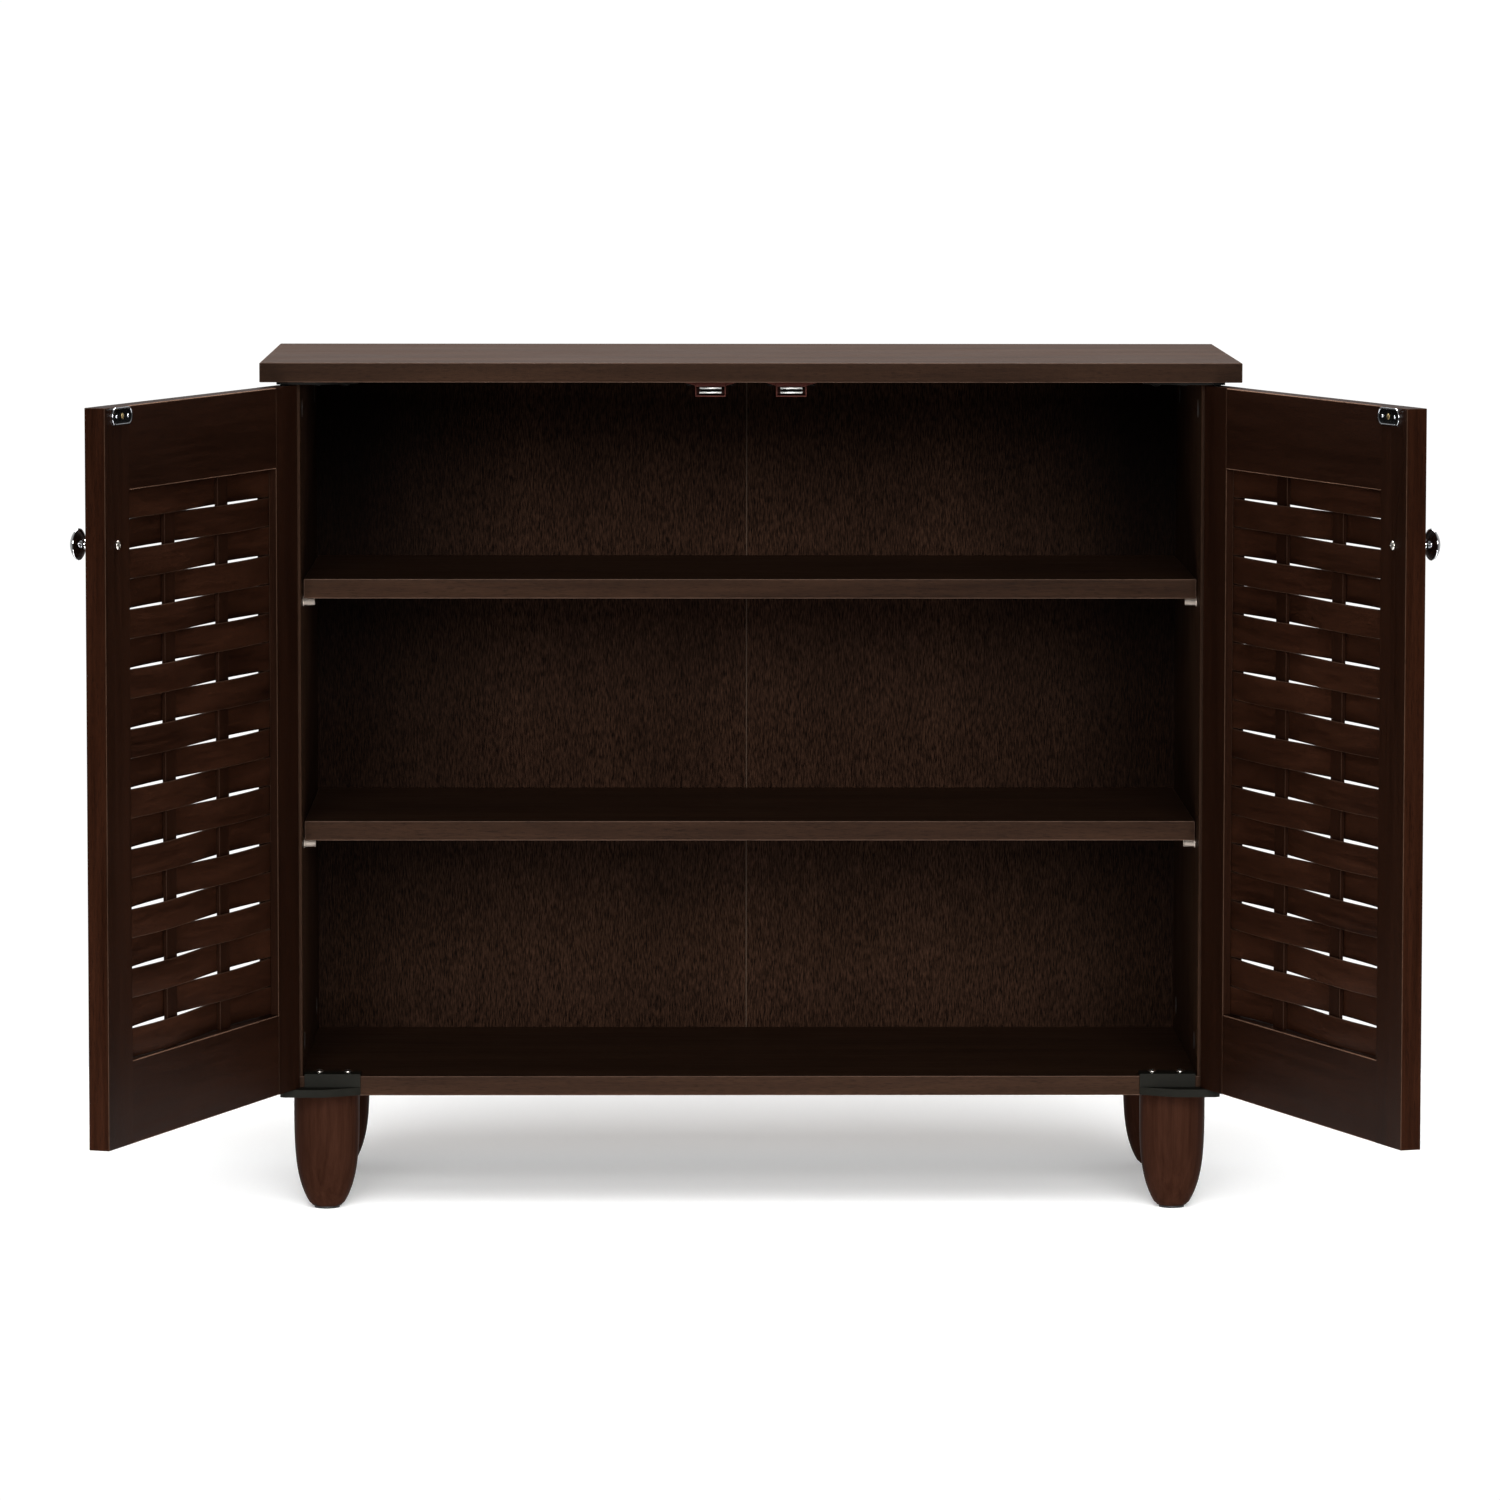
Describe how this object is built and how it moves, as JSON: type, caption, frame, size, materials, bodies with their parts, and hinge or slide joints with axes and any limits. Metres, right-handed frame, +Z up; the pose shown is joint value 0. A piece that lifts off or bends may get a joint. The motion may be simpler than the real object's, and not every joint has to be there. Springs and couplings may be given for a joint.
{
  "type": "shoe cabinet",
  "caption": "Low dark wood shoe cabinet on turned bullet legs, with woven-slat louvre doors on pivots, loose shelves on pins, chrome knobs and magnetic catches.",
  "frame": {"origin": "on the floor at the middle of the object's footprint as it stands with both doors open: on the centre line between the legs, half way between the tips of the open doors and the rear edge of the top", "axes": "+X to the viewer's right when facing the doors, +Y from the front to the back, +Z up; the cabinet front faces -Y"},
  "size_m": [1.0614, 0.71, 0.702],
  "materials": {
    "espresso_foil": "satin dark espresso wood-grain foil on board",
    "door_foil": "satin dark espresso stained wood",
    "back_foil": "matte embossed wood-grain foil on thin board",
    "leg_wood": "semi-gloss red-brown lacquered turned wood",
    "beech": "raw fluted beech",
    "seam_tape": "matte",
    "zinc": "zinc plated",
    "nickel": "nickel plated",
    "chrome": "polished chrome",
    "bracket_grey": "dark grey satin coating",
    "dark_steel": "blued, burnished",
    "brass": "yellow passivated",
    "catch_plastic": "moulded red-brown, slight gloss",
    "black_plastic": "matte moulded",
    "magnet": "matte ferrite"
  },
  "bodies": {
    "carcass": {"top_panel": "espresso_foil", "left_side_panel": "espresso_foil", "right_side_panel": "espresso_foil", "bottom_panel": "espresso_foil", "left_back_panel": "back_foil", "right_back_panel": "back_foil", "back_joint_strip": "seam_tape", "back_nails": "zinc", "front_left_leg": "leg_wood", "front_right_leg": "leg_wood", "rear_left_leg": "leg_wood", "rear_right_leg": "leg_wood", "leg_bolts": "zinc", "leg_inserts": "zinc", "leg_glides": "black_plastic", "cam_locks": "zinc", "cam_bolts": "nickel", "panel_dowels": "beech", "left_catch_housing": "catch_plastic", "right_catch_housing": "catch_plastic", "catch_magnets": "magnet", "catch_pole_plates": "nickel", "catch_screws": "nickel", "upper_shelf_pins": "nickel", "lower_shelf_pins": "nickel", "left_top_bracket": "bracket_grey", "right_top_bracket": "bracket_grey", "left_bottom_bracket": "bracket_grey", "right_bottom_bracket": "bracket_grey", "pivot_pins": "nickel", "bracket_screws": "nickel"},
    "upper_shelf": {"upper_shelf": "espresso_foil"},
    "lower_shelf": {"lower_shelf": "espresso_foil"},
    "left_door": {"left_hinge_stile": "door_foil", "left_free_stile": "door_foil", "left_top_rail": "door_foil", "left_bottom_rail": "door_foil", "left_lattice_posts": "door_foil", "left_odd_slats": "door_foil", "left_even_slats": "door_foil", "left_rail_dowels": "beech", "left_pivot_bushes": "black_plastic", "left_knob": "chrome", "left_knob_screw": "nickel", "left_strike_plate": "dark_steel", "left_strike_screw": "brass"},
    "right_door": {"right_hinge_stile": "door_foil", "right_free_stile": "door_foil", "right_top_rail": "door_foil", "right_bottom_rail": "door_foil", "right_lattice_posts": "door_foil", "right_odd_slats": "door_foil", "right_even_slats": "door_foil", "right_rail_dowels": "beech", "right_pivot_bushes": "black_plastic", "right_knob": "chrome", "right_knob_screw": "nickel", "right_strike_plate": "dark_steel", "right_strike_screw": "brass"}
  },
  "joints": [
    {"name": "left_door_hinge", "type": "hinge", "parent": "carcass", "child": "left_door", "pos_m": [-0.38, 0.00354, 0.3945], "axis": [0, 0, 1], "range_deg": [-70, 110]},
    {"name": "right_door_hinge", "type": "hinge", "parent": "carcass", "child": "right_door", "pos_m": [0.38, 0.00354, 0.3945], "axis": [0, 0, -1], "range_deg": [-70, 110]},
    {"name": "upper_shelf_lift", "type": "slide", "parent": "carcass", "child": "upper_shelf", "axis": [0, 0, 1], "range_m": [0, 0.05]},
    {"name": "lower_shelf_lift", "type": "slide", "parent": "carcass", "child": "lower_shelf", "axis": [0, 0, 1], "range_m": [0, 0.05]}
  ]
}
